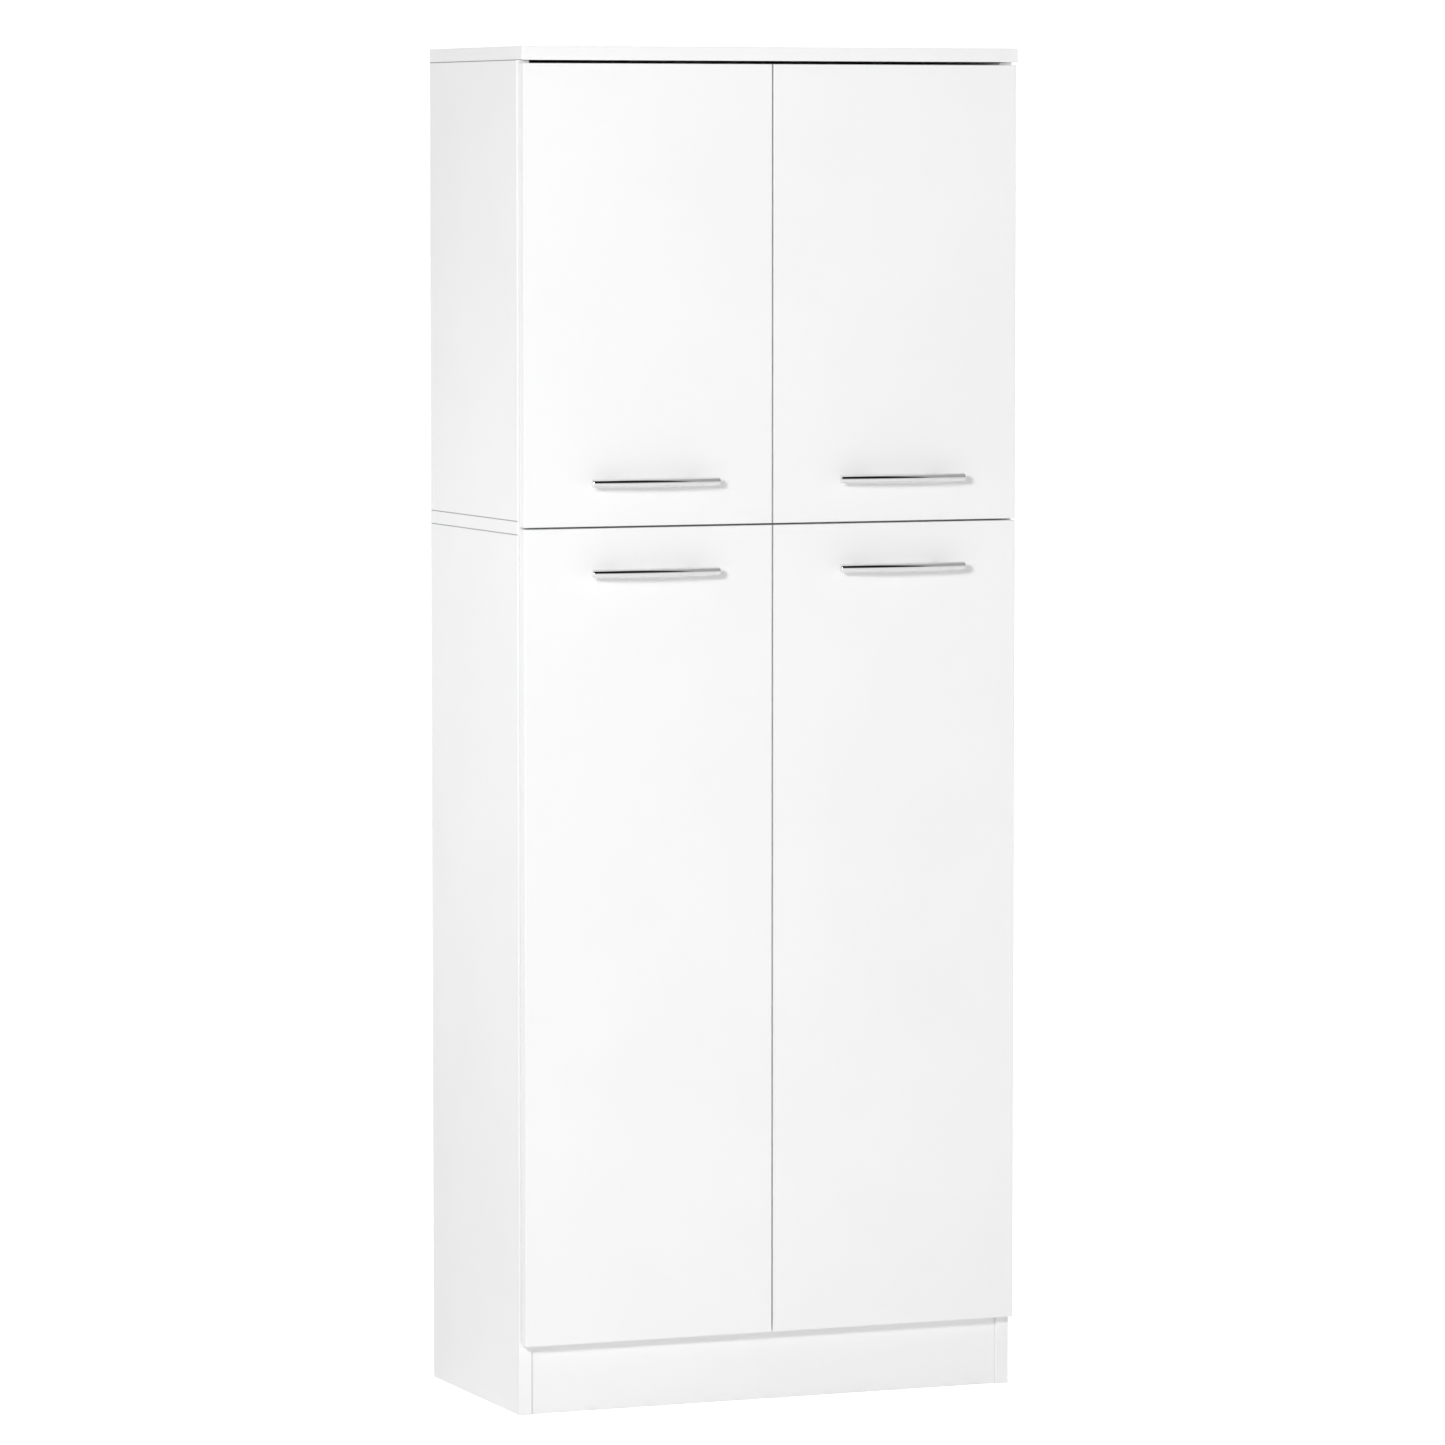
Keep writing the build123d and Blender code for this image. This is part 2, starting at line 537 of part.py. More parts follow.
# Dowels: middle of each joint face and the direction into the board's edge
DOWELS = []
for side in (-1, 1):
    for y in LOWER_DOWELS:
        DOWELS.append(((side * SIDE_MIDDLE_X, y, MIDDLE_BOTTOM), (0, 0, -1)))
        DOWELS.append(((side * INNER_X, y, BOTTOM_MIDDLE_Z), (-side, 0, 0)))
    for y in UPPER_DOWELS:
        DOWELS.append(((side * SIDE_MIDDLE_X, y, MIDDLE_TOP), (0, 0, 1)))
        DOWELS.append(((side * SIDE_MIDDLE_X, y, UPPER_SIDE_TOP), (0, 0, -1)))
    DOWELS.append(((side * INNER_X, PLINTH_Y, PLINTH_DOWEL_Z), (-side, 0, 0)))

with BuildPart() as dowels:
    for joint, direction in DOWELS:
        rod(joint, direction, [(DOWEL_RADIUS, -DOWEL_IN_FACE, DOWEL_IN_EDGE)])
save(dowels, "dowels")

# Bumpers, on the front edges of the middle and bottom panels
BUMPER_LEVELS = (
    (UPPER_DOOR_BOTTOM + MIDDLE_TOP) / 2,
    (LOWER_DOOR_TOP + MIDDLE_BOTTOM) / 2,
    (DOOR_BOTTOM + BOTTOM_TOP) / 2,
)
with BuildPart() as door_bumpers:
    for side in (-1, 1):
        for level in BUMPER_LEVELS:
            seat = (side * BUMPER_X, CARCASS_FRONT_Y, level)
            rod(seat, (0, -1, 0), [(BUMPER_RADIUS, 0, BUMPER_THICKNESS)])
save(door_bumpers, "door_bumpers")

# Doors with their handles
for name, (side, bottom, top, handle_level) in DOORS.items():
    door_edges = sorted((side * (HALF_WIDTH - DOOR_SIDE_INSET), side * DOOR_CENTRE_GAP / 2))
    centre_x = sum(door_edges) / 2
    post_x = [centre_x - HANDLE_PITCH / 2, centre_x + HANDLE_PITCH / 2]
    levels = hinge_levels(bottom, top)
    back_face = facing_front(DOOR_BACK_Y)
    cup_x = plan(side, CUP_CENTRE, 0)[0]
    ear_x = plan(side, CUP_CENTRE + CUP_SCREW_SETBACK, 0)[0]
    ears = [(ear_x, z + offset * CUP_SCREW_PITCH) for z in levels for offset in (-0.5, 0.5)]

    with BuildPart() as door:
        slab(door_edges, (DOOR_FACE_Y, DOOR_BACK_Y), (bottom, top), DOOR_ROUND)
        bore(back_face, [(cup_x, z) for z in levels], CUP_RADIUS + CLEARANCE, CUP_DEPTH)
        bore(back_face, ears, WOOD_SCREW[0] + CLEARANCE, WOOD_SCREW_LENGTH)
        bore(back_face, [(x, handle_level) for x in post_x], HANDLE_HOLE_RADIUS, BOARD)
    save(door, f"{name}_door")

    # Bow handle: a round bar on two posts
    with BuildPart() as handle:
        end_y = DOOR_FACE_Y - HANDLE_END_REACH
        with BuildLine() as bar_axis:
            ThreePointArc(
                (centre_x - HANDLE_LENGTH / 2, end_y, handle_level),
                (centre_x, DOOR_FACE_Y - HANDLE_MIDDLE_REACH, handle_level),
                (centre_x + HANDLE_LENGTH / 2, end_y, handle_level),
            )
        bar_line = bar_axis.line
        with BuildSketch(Plane(origin=bar_line @ 0, z_dir=bar_line % 0)):
            Circle(HANDLE_RADIUS)
        sweep(path=bar_line)
        end_edges = edges().filter_by(GeomType.CIRCLE).sort_by(Axis.X)
        fillet([end_edges[0], end_edges[-1]], HANDLE_END_ROUND)
        sagitta = HANDLE_MIDDLE_REACH - HANDLE_END_REACH
        post_reach = HANDLE_MIDDLE_REACH - sagitta * (HANDLE_PITCH / HANDLE_LENGTH) ** 2
        posts = [(x, handle_level) for x in post_x]
        with BuildSketch(facing_front(DOOR_FACE_Y)):
            with Locations(*posts):
                Circle(POST_RADIUS)
        extrude(amount=post_reach)
        thread_depth = HANDLE_SCREW_ENGAGE + HANDLE_THREAD_SPARE
        bore(facing_front(DOOR_FACE_Y), posts, HANDLE_SCREW_RADIUS + CLEARANCE, thread_depth)
    save(handle, f"{name}_handle")

    with BuildPart() as handle_screws:
        for x in post_x:
            screw((x, DOOR_BACK_Y, handle_level), (0, -1, 0), HANDLE_SCREW, BOARD + HANDLE_SCREW_ENGAGE)
    save(handle_screws, f"{name}_handle_screws")

    # Hinge cups, pressed into the door and held by two screws each
    cup_floor_y = DOOR_BACK_Y - CUP_DEPTH + FINE_CLEARANCE
    with BuildPart() as hinge_cups:
        for level in levels:
            with BuildSketch(back_face.offset(-CUP_FLANGE)):
                with Locations((cup_x, level)):
                    Circle(CUP_RADIUS + CUP_RIM)
                with Locations(*[(ear_x, level + s * CUP_SCREW_PITCH / 2) for s in (-1, 1)]):
                    Circle(CUP_EAR_RADIUS)
                make_hull()
                with Locations((plan(side, 0, 0)[0], level)):
                    Rectangle(2 * CUP_FLANGE_START, 3 * CUP_SCREW_PITCH, mode=Mode.SUBTRACT)
            extrude(amount=CUP_FLANGE)
            with BuildSketch(back_face):
                with Locations((cup_x, level)):
                    Circle(CUP_RADIUS)
            extrude(amount=DOOR_BACK_Y - cup_floor_y)
            pocket = facing_front(cup_floor_y + CUP_WALL)
            bore(pocket, [(cup_x, level)], CUP_RADIUS - CUP_WALL, -CUP_DEPTH - CUP_FLANGE)
            bore(back_face.offset(-CUP_FLANGE), ears, WOOD_SCREW[0] + CLEARANCE, CUP_FLANGE)
            for pivot, layer, pin_radius, pin_layer in (
                (CUP_OUTER_PIVOT, CUP_LUG_LAYER, PIVOT_RADIUS, (OUTER_LINK_LAYER[0], CUP_LUG_LAYER[1])),
                (CUP_INNER_PIVOT, INNER_CHEEK, OPEN_PIN_RADIUS, (0, INNER_CHEEK[1])),
            ):
                pivot_x, pivot_y = plan(side, *pivot)
                foot_y = cup_floor_y + CUP_WALL / 2
                lug_half = pin_radius + LUG_WALL
                for plane, thickness in both_layers(level, layer):
                    with BuildSketch(plane):
                        with Locations((pivot_x, pivot_y)):
                            Circle(lug_half)
                        with Locations((pivot_x, (pivot_y + foot_y) / 2)):
                            Rectangle(2 * lug_half, pivot_y - foot_y)
                    extrude(amount=thickness)
                for plane, thickness in both_layers(level, pin_layer):
                    with BuildSketch(plane):
                        with Locations(plan(side, *pivot)):
                            Circle(pin_radius)
                    extrude(amount=thickness)
    save(hinge_cups, f"{name}_hinge_cups")

    with BuildPart() as cup_screws:
        for x, z in ears:
            screw((x, DOOR_BACK_Y + CUP_FLANGE, z), (0, -1, 0), WOOD_SCREW, WOOD_SCREW_LENGTH)
    save(cup_screws, f"{name}_cup_screws")

    # Outer links: two bent plates a hinge, round the rim of the cup
    with BuildPart() as outer_links:
        for level in levels:
            for plane, thickness in both_layers(level, OUTER_LINK_LAYER):
                with BuildSketch(plane):
                    corners = (ARM_OUTER_PIVOT, *OUTER_LINK_BENDS, CUP_OUTER_PIVOT)
                    stops = [plan(side, *corner) for corner in corners]
                    for start, end in zip(stops, stops[1:]):
                        strap(start, end, LINK_HALF_WIDTH)
                    with Locations(stops[0], stops[-1]):
                        Circle(PIVOT_RADIUS + EYE_WALL)
                        Circle(PIVOT_RADIUS + PIVOT_CLEARANCE, mode=Mode.SUBTRACT)
                extrude(amount=thickness)
    save(outer_links, f"{name}_outer_links")

    # Inner links: straight, with an enlarged eye on the cup's inner pin
    with BuildPart() as inner_links:
        for level in levels:
            arm_end = plan(side, *ARM_INNER_PIVOT)
            cup_end = plan(side, *INNER_LINK_END)
            with BuildSketch(Plane.XY.offset(level - INNER_LINK_HALF)):
                strap(arm_end, cup_end, LINK_HALF_WIDTH)
                with Locations(arm_end):
                    Circle(PIVOT_RADIUS + EYE_WALL)
                with Locations(cup_end):
                    Circle(OPEN_EYE_RADIUS + OPEN_EYE_WALL)
                with Locations(arm_end):
                    Circle(PIVOT_RADIUS + PIVOT_CLEARANCE, mode=Mode.SUBTRACT)
                with Locations(cup_end):
                    Circle(OPEN_EYE_RADIUS, mode=Mode.SUBTRACT)
            extrude(amount=2 * INNER_LINK_HALF)
    save(inner_links, f"{name}_inner_links")

    # Arms, clipped over the mounting plates' rails
    with BuildPart() as hinge_arms:
        for level in levels:
            nose = plan(side, *ARM_OUTER_PIVOT)
            for plane, thickness in both_layers(level, OUTER_CHEEK):
                with BuildSketch(plane):
                    with BuildLine():
                        Polyline(
                            plan(side, *ARM_TOE),
                            plan(side, ARM_FOOT, ARM_HEEL),
                            plan(side, ARM_FOOT, ARM_REAR),
                            plan(side, ARM_TOP - ARM_FALL, ARM_REAR),
                            plan(side, ARM_TOP, ARM_SHOULDER),
                            plan(side, ARM_TIP_TOP, ARM_TIP),
                            close=True,
                        )
                    make_face()
                    with Locations(nose):
                        Circle(ARM_NOSE_RADIUS)
                extrude(amount=thickness)
            for plane, thickness in both_layers(level, INNER_CHEEK):
                with BuildSketch(plane):
                    strap(plan(side, *ARM_INNER_PIVOT), plan(side, *INNER_CHEEK_END), INNER_CHEEK_HALF)
                extrude(amount=thickness)
            # The bridge over the cheeks stops behind the swing of the links
            with BuildSketch(Plane.XY.offset(level - OUTER_CHEEK[1])):
                with BuildLine():
                    Polyline(
                        plan(side, ARM_TOP, ARM_SHOULDER),
                        plan(side, ARM_TOP - ARM_FALL, ARM_REAR),
                        plan(side, ARM_TOP - ARM_FALL - ARM_SHEET, ARM_REAR),
                        plan(side, ARM_TOP - ARM_FALL, ARM_SHOULDER),
                        plan(side, ARM_TOP - ARM_FALL, BRIDGE_FRONT),
                        plan(side, BRIDGE_TOP, BRIDGE_FRONT),
                        close=True,
                    )
                make_face()
            extrude(amount=2 * OUTER_CHEEK[1])
            pins = ((ARM_OUTER_PIVOT, OUTER_CHEEK[1]), (ARM_INNER_PIVOT, INNER_CHEEK[1]))
            for pivot, half in pins:
                with BuildSketch(Plane.XY.offset(level - half)):
                    with Locations(plan(side, *pivot)):
                        Circle(PIVOT_RADIUS)
                extrude(amount=2 * half)
            for backward in ARM_SCREWS_BACKWARD:
                mouth = (*plan(side, ARM_TOP + ARM_HOLE_START, backward), level)
                across = Plane(origin=mouth, z_dir=(side, 0, 0))
                bore(across, [(0, 0)], ARM_SCREW[0] + CLEARANCE, ARM_HOLE_DEPTH)
    save(hinge_arms, f"{name}_hinge_arms")

    with BuildPart() as mounting_plates:
        for level in levels:
            rail_x = sorted(plan(side, reach, 0)[0] for reach in (BOARD, RAIL_TOP))
            wing_x = sorted(plan(side, reach, 0)[0] for reach in (BOARD, BOARD + PLATE_THICKNESS))
            rail_y = (DOOR_FACE_Y + RAIL_FRONT, DOOR_FACE_Y + ARM_REAR - RAIL_SHORT)
            wing_y = (PIN_FRONT_Y - WING_HALF_WIDTH, PIN_FRONT_Y + WING_HALF_WIDTH)
            slab(rail_x, rail_y, (level - RAIL_HALF, level + RAIL_HALF), 0)
            slab(wing_x, wing_y, (level - WING_HALF_HEIGHT, level + WING_HALF_HEIGHT), 0)
            inner = Plane(origin=(rail_x[0], 0, 0), x_dir=(0, 1, 0), z_dir=(1, 0, 0))
            holes = [(PIN_FRONT_Y, level + s * PLATE_SCREW_PITCH / 2) for s in (-1, 1)]
            bore(inner, holes, WOOD_SCREW[0] + CLEARANCE, RAIL_TOP - BOARD)
            threads = [(DOOR_FACE_Y + backward, level) for backward in ARM_SCREWS_BACKWARD]
            bore(inner, threads, ARM_SCREW[0] + CLEARANCE, RAIL_TOP - BOARD)
    save(mounting_plates, f"{name}_mounting_plates")

# Screws of the fixed hinge halves
with BuildPart() as plate_screws:
    for side, bottom, top, _ in DOORS.values():
        for level in hinge_levels(bottom, top):
            for offset in (-PLATE_SCREW_PITCH / 2, PLATE_SCREW_PITCH / 2):
                seat = (side * (INNER_X - PLATE_THICKNESS), PIN_FRONT_Y, level + offset)
                screw(seat, (side, 0, 0), WOOD_SCREW, PLATE_THICKNESS + WOOD_SCREW_LENGTH)
save(plate_screws, "plate_screws")

with BuildPart() as arm_screws:
    for side, bottom, top, _ in DOORS.values():
        for level in hinge_levels(bottom, top):
            for backward in ARM_SCREWS_BACKWARD:
                lean = (backward - ARM_SHOULDER) / (ARM_REAR - ARM_SHOULDER)
                seat_inward = ARM_TOP - ARM_FALL * lean + ARM_SCREW_PROUD
                seat = (*plan(side, seat_inward, backward), level)
                screw(seat, (side, 0, 0), ARM_SCREW, seat_inward - BOARD - 1)
save(arm_screws, "arm_screws")
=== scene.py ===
import math

import bpy
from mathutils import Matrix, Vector


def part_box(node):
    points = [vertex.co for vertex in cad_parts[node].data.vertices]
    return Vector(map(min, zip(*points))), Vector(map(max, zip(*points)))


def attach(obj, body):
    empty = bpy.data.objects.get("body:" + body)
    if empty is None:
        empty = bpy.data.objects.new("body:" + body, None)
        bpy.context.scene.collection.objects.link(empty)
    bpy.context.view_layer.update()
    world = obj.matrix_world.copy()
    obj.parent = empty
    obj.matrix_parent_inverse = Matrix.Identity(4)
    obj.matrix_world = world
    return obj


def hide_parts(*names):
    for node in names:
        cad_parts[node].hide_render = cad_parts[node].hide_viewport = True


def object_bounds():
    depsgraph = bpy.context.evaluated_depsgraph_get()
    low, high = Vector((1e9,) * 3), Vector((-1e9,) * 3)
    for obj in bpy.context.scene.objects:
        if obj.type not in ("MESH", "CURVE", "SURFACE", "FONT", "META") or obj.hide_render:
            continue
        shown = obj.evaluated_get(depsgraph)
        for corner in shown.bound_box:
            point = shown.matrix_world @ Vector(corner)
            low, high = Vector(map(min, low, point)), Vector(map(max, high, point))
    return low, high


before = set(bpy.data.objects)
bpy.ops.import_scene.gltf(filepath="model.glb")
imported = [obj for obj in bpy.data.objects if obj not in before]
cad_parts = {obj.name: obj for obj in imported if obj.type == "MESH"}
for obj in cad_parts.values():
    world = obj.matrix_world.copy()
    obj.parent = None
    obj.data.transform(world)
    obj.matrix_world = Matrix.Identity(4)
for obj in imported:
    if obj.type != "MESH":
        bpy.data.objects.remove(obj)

# Metres and degrees. X is to the right of someone facing the doors, the doors face -Y, Z is up.

cad_low, cad_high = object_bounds()
middle = (cad_low + cad_high) / 2
MM = 0.001
DOOR_NAMES = [f"{level}_{hand}" for level in ("upper", "lower") for hand in ("left", "right")]


# ---------------------------------------------------------------- node trees

MIX_FIRST, MIX_SECOND, MIX_RESULT = 6, 7, 2  # the colour sockets of a Mix node, by index


class Graph:
    """A node tree written as nested calls; a value is a number, a colour or another node's socket."""

    def __init__(self, tree):
        self.tree = tree

    def feed(self, socket, value):
        if isinstance(value, bpy.types.NodeSocket):
            self.tree.links.new(value, socket)
        else:
            socket.default_value = value

    def add(self, kind, inputs, **settings):
        made = self.tree.nodes.new(kind)
        for name, value in settings.items():
            setattr(made, name, value)
        for name, value in inputs.items():
            self.feed(made.inputs[name], value)
        return made

    def math(self, operation, *values, clamp=False):
        inputs = dict(enumerate(values))
        return self.add("ShaderNodeMath", inputs, operation=operation, use_clamp=clamp).outputs[0]

    def ramp(self, value, low, high, start=0.0, end=1.0):
        """Smooth step of a value from low to high, mapped to start and end."""
        inputs = {"Value": value, "From Min": low, "From Max": high, "To Min": start, "To Max": end}
        return self.add("ShaderNodeMapRange", inputs, interpolation_type="SMOOTHSTEP").outputs[0]

    def mix(self, factor, first, second):
        inputs = {"Factor": factor, MIX_FIRST: first, MIX_SECOND: second}
        return self.add("ShaderNodeMix", inputs, data_type="RGBA").outputs[MIX_RESULT]

    def position(self):
        """Position on the object in metres."""
        return self.tree.nodes.new("ShaderNodeTexCoord").outputs["Object"]

    def axes(self, vector):
        """The x, y and z of a vector."""
        return self.add("ShaderNodeSeparateXYZ", {"Vector": vector}).outputs

    def camera_ray(self):
        """1 for what the camera sees directly, 0 for light that reaches the surfaces."""
        return self.tree.nodes.new("ShaderNodeLightPath").outputs["Is Camera Ray"]

    def place(self, scale=(1, 1, 1)):
        """Position on the object in metres, stretched per axis."""
        return self.add("ShaderNodeMapping", {"Vector": self.position(), "Scale": scale}).outputs[0]

    def noise(self, scale, detail=2.0, roughness=0.5, where=None):
        inputs = {"Vector": where or self.place(), "Scale": scale}
        inputs.update({"Detail": detail, "Roughness": roughness})
        return self.add("ShaderNodeTexNoise", inputs).outputs[0]

    def cells(self, scale, where=None):
        inputs = {"Vector": where or self.place(), "Scale": scale}
        return self.add("ShaderNodeTexVoronoi", inputs).outputs["Distance"]

    def bump(self, height, distance, strength=1.0):
        inputs = {"Height": height, "Distance": distance, "Strength": strength}
        return self.add("ShaderNodeBump", inputs).outputs[0]


def new_material(name, **uniform):
    """A Principled material with its uniform values set on the shader, and its graph."""
    material = bpy.data.materials.new(name)
    material.use_nodes = True
    graph = Graph(material.node_tree)
    graph.shader = material.node_tree.nodes["Principled BSDF"]
    for socket, value in uniform.items():
        graph.shader.inputs[socket.replace("_", " ")].default_value = value
    return material, graph


def give(node, material):
    """Puts one material on a CAD node."""
    mesh_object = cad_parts[node]
    if not mesh_object.material_slots:
        mesh_object.data.materials.append(material)
    for material_slot in mesh_object.material_slots:
        material_slot.material = material


# ---------------------------------------------------------------- melamine boards

WHITE = (0.85, 0.85, 0.852, 1)
WHITE_SHADE = (0.835, 0.835, 0.838, 1)
GLUE = (0.60, 0.59, 0.57, 1)
# Colour of the painted shade in the joints between stacked boards
PAINTED_SEAM_SHADE = (0.22, 0.22, 0.23, 1)
CHIP_LIGHT = (0.50, 0.34, 0.19, 1)
CHIP_DARK = (0.21, 0.12, 0.06, 1)
SKIN = 0.35 * MM  # a point deeper than this in the board is on the wall of a hole
RAW_SKIN = 0.12 * MM  # depth of a bare face
BAND = 0.9 * MM  # thickness of the edge band
GLUE_LINE = 0.12 * MM
SEAM_SHADE_WIDTH = 0.7 * MM  # painted shade this near to a joint between stacked boards
SEAM_SHADE_CORE = 0.6  # share of it that is fully dark
GLUE_STRENGTH = 0.5
SEAM_SHADE_STRENGTH = 0.8
SATIN = (0.38, 0.45)  # roughness, from wiped to smudged
RAW_ROUGHER = 0.5


def board_masks(graph, node, raw_faces, shade_ends):
    """Masks of raw chipboard, of the hairline where edge bands meet the faces, and of painted shade
    along joint seams.
    """
    low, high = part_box(node)
    thin = min(range(3), key=lambda axis: high[axis] - low[axis])
    axes = graph.axes(graph.position())
    depths = []
    raws = []
    joint_shades = []
    for axis in range(3):
        from_low = graph.math("SUBTRACT", axes[axis], low[axis])
        from_high = graph.math("SUBTRACT", high[axis], axes[axis])
        depths.append(graph.math("MINIMUM", from_low, from_high))
        for sign, reach in (("-", from_low), ("+", from_high)):
            if sign + "xyz"[axis] in raw_faces:
                raws.append(graph.math("LESS_THAN", reach, RAW_SKIN))
            if axis == 2 and sign in shade_ends:
                # Painted shade, fading out from the joint
                joint_shades.append(graph.ramp(reach, SEAM_SHADE_WIDTH * SEAM_SHADE_CORE, SEAM_SHADE_WIDTH, 1.0, 0.0))
    deepest = graph.math("MINIMUM", graph.math("MINIMUM", depths[0], depths[1]), depths[2])
    chipboard = graph.math("GREATER_THAN", deepest, SKIN)
    for raw in raws:
        chipboard = graph.math("MAXIMUM", chipboard, raw)
    border = graph.math("MINIMUM", *(depths[axis] for axis in range(3) if axis != thin))
    off_line = graph.math("ABSOLUTE", graph.math("SUBTRACT", border, BAND))
    glue = graph.ramp(off_line, 0.0, GLUE_LINE, 1.0, 0.0)
    seam_shade = 0.0
    for joint_shade in joint_shades:
        seam_shade = graph.math("MAXIMUM", seam_shade, joint_shade)
    outer_side = graph.math("LESS_THAN", depths[0], SKIN)
    return chipboard, glue, graph.math("MULTIPLY", seam_shade, outer_side)


def chipboard_colour(graph):
    """Pressed chips: pale flakes among darker resin."""
    flakes = graph.cells(620, graph.place((1, 1, 2.2)))
    dust = graph.noise(1500, 3.0)
    share = graph.math("ADD", graph.math("MULTIPLY", flakes, 0.9), graph.math("MULTIPLY", dust, 0.5))
    return graph.mix(graph.ramp(share, 0.35, 0.95), CHIP_LIGHT, CHIP_DARK)


def board_material(node, raw_faces, shade_ends):
    """White satin melamine with a fine pearl texture and painted shade along joint seams, over
    chipboard.
    """
    material, graph = new_material(f"melamine_{node}", IOR=1.5)
    raw, glue, seam_shade = board_masks(graph, node, raw_faces, shade_ends)
    clouds = graph.noise(5.0, 2.0)
    white = graph.mix(graph.ramp(clouds, 0.3, 0.7), WHITE, WHITE_SHADE)
    white = graph.mix(graph.math("MULTIPLY", glue, GLUE_STRENGTH), white, GLUE)
    # Painted shade darkens the colour along the joints between stacked boards
    white = graph.mix(graph.math("MULTIPLY", seam_shade, SEAM_SHADE_STRENGTH), white, PAINTED_SEAM_SHADE)
    graph.feed(graph.shader.inputs["Base Color"], graph.mix(raw, white, chipboard_colour(graph)))
    smudges = graph.ramp(graph.noise(14.0, 3.0), 0.35, 0.7, *SATIN)
    roughness = graph.math("ADD", smudges, graph.math("MULTIPLY", raw, RAW_ROUGHER), clamp=True)
    graph.feed(graph.shader.inputs["Roughness"], roughness)
    pearl = graph.math("MULTIPLY", graph.noise(1100, 2.0), 0.02)
    grit = graph.math("MULTIPLY", graph.math("MULTIPLY", graph.cells(900), raw), 0.2)
    relief = graph.math("ADD", pearl, grit)
    graph.feed(graph.shader.inputs["Normal"], graph.bump(relief, 1 * MM))
    return material


# Faces of each board that are bare chipboard
BOARDS = {
    "top_panel": ("+y",),
    "middle_panel": ("+y",),
    "bottom_panel": ("+y",),
    "plinth_board": ("-z",),
    "lower_left_side": ("+y", "-z"),
    "lower_right_side": ("+y", "-z"),
    "upper_left_side": ("+y",),
    "upper_right_side": ("+y",),
    "upper_shelf": ("+y", "-x", "+x"),
    "lower_shelf_high": ("+y", "-x", "+x"),
    "lower_shelf_low": ("+y", "-x", "+x"),
}
BOARDS.update({f"{name}_door": () for name in DOOR_NAMES})
# Ends of each board, down and up, that meet another board in a joint seen from the side, where shade
# is painted
SEAM_SHADE_ENDS = {
    "top_panel": "-",
    "middle_panel": "-+",
    "upper_left_side": "-+",
    "upper_right_side": "-+",
    "lower_left_side": "+",
    "lower_right_side": "+",
}
for board, raw_sides in BOARDS.items():
    give(board, board_material(board, raw_sides, SEAM_SHADE_ENDS.get(board, "")))


# ---------------------------------------------------------------- back panels

FIBRE_LIGHT = (0.37, 0.245, 0.145, 1)
FIBRE_DARK = (0.29, 0.185, 0.105, 1)


def hardboard_material():
    """Thin fibreboard: painted white towards the shelves, bare and felted behind."""
    material, graph = new_material("hardboard", IOR=1.45)
    low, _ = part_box("lower_back_panel")
    backward = graph.axes(graph.position())[1]
    bare = graph.math("GREATER_THAN", backward, low.y + RAW_SKIN)
    felt = graph.noise(900, 4.0, 0.6, graph.place((1, 1, 0.5)))
    drift = graph.noise(3.0, 2.0)
    share = graph.math("ADD", graph.math("MULTIPLY", felt, 0.7), graph.math("MULTIPLY", drift, 0.3))
    brown = graph.mix(graph.ramp(share, 0.35, 0.65), FIBRE_LIGHT, FIBRE_DARK)
    graph.feed(graph.shader.inputs["Base Color"], graph.mix(bare, WHITE, brown))
    graph.feed(graph.shader.inputs["Roughness"], graph.ramp(bare, 0.0, 1.0, 0.45, 0.82))
    relief = graph.math("MULTIPLY", felt, graph.ramp(bare, 0.0, 1.0, 0.05, 0.3))
    graph.feed(graph.shader.inputs["Normal"], graph.bump(relief, 0.3 * MM))
    return material


hardboard = hardboard_material()
give("lower_back_panel", hardboard)
give("upper_back_panel", hardboard)


# ---------------------------------------------------------------- metals, beech and bumpers

def metal_material(name, colour, tint, roughness, scratch_scale, relief_height):
    """Plated metal: faint colour drift, scratches that vary the gloss, a little relief."""
    material, graph = new_material(name, Metallic=1.0)
    drift = graph.ramp(graph.noise(90, 2.0), 0.3, 0.7)
    graph.feed(graph.shader.inputs["Base Color"], graph.mix(drift, colour, tint))
    scratches = graph.noise(scratch_scale, 4.0, 0.6, graph.place((1, 1, 6)))
    low, high = roughness
    graph.feed(graph.shader.inputs["Roughness"], graph.ramp(scratches, 0.3, 0.75, low, high))
    graph.feed(graph.shader.inputs["Normal"], graph.bump(scratches, relief_height))
    return material


chrome = metal_material(
    "polished_chrome", (0.83, 0.83, 0.83, 1), (0.80, 0.80, 0.80, 1), (0.02, 0.05), 700, 0.001 * MM
)
nickel = metal_material(
    "satin_nickel", (0.74, 0.725, 0.695, 1), (0.70, 0.69, 0.665, 1), (0.16, 0.26), 900, 0.0025 * MM
)
zinc_plate = metal_material(
    "zinc_plate", (0.68, 0.685, 0.69, 1), (0.63, 0.635, 0.64, 1), (0.24, 0.38), 1200, 0.004 * MM
)
cast_zinc = metal_material(
    "cast_zinc", (0.47, 0.47, 0.475, 1), (0.38, 0.385, 0.39, 1), (0.42, 0.58), 1600, 0.04 * MM
)


BEECH_LIGHT = (0.60, 0.42, 0.26, 1)
BEECH_DARK = (0.45, 0.29, 0.16, 1)
CLEAR = (0.86, 0.87, 0.88, 1)
CLOUDY = (0.80, 0.81, 0.82, 1)


def beech_material():
    """Raw fluted beech with short flecks."""
    material, graph = new_material("beech", IOR=1.45)
    fibres = graph.noise(900, 5.0, 0.65, graph.place((1, 1, 0.15)))
    colour = graph.mix(graph.ramp(fibres, 0.3, 0.7), BEECH_LIGHT, BEECH_DARK)
    graph.feed(graph.shader.inputs["Base Color"], colour)
    graph.feed(graph.shader.inputs["Roughness"], graph.ramp(fibres, 0.3, 0.7, 0.6, 0.75))
    graph.feed(graph.shader.inputs["Normal"], graph.bump(fibres, 0.1 * MM))
    return material


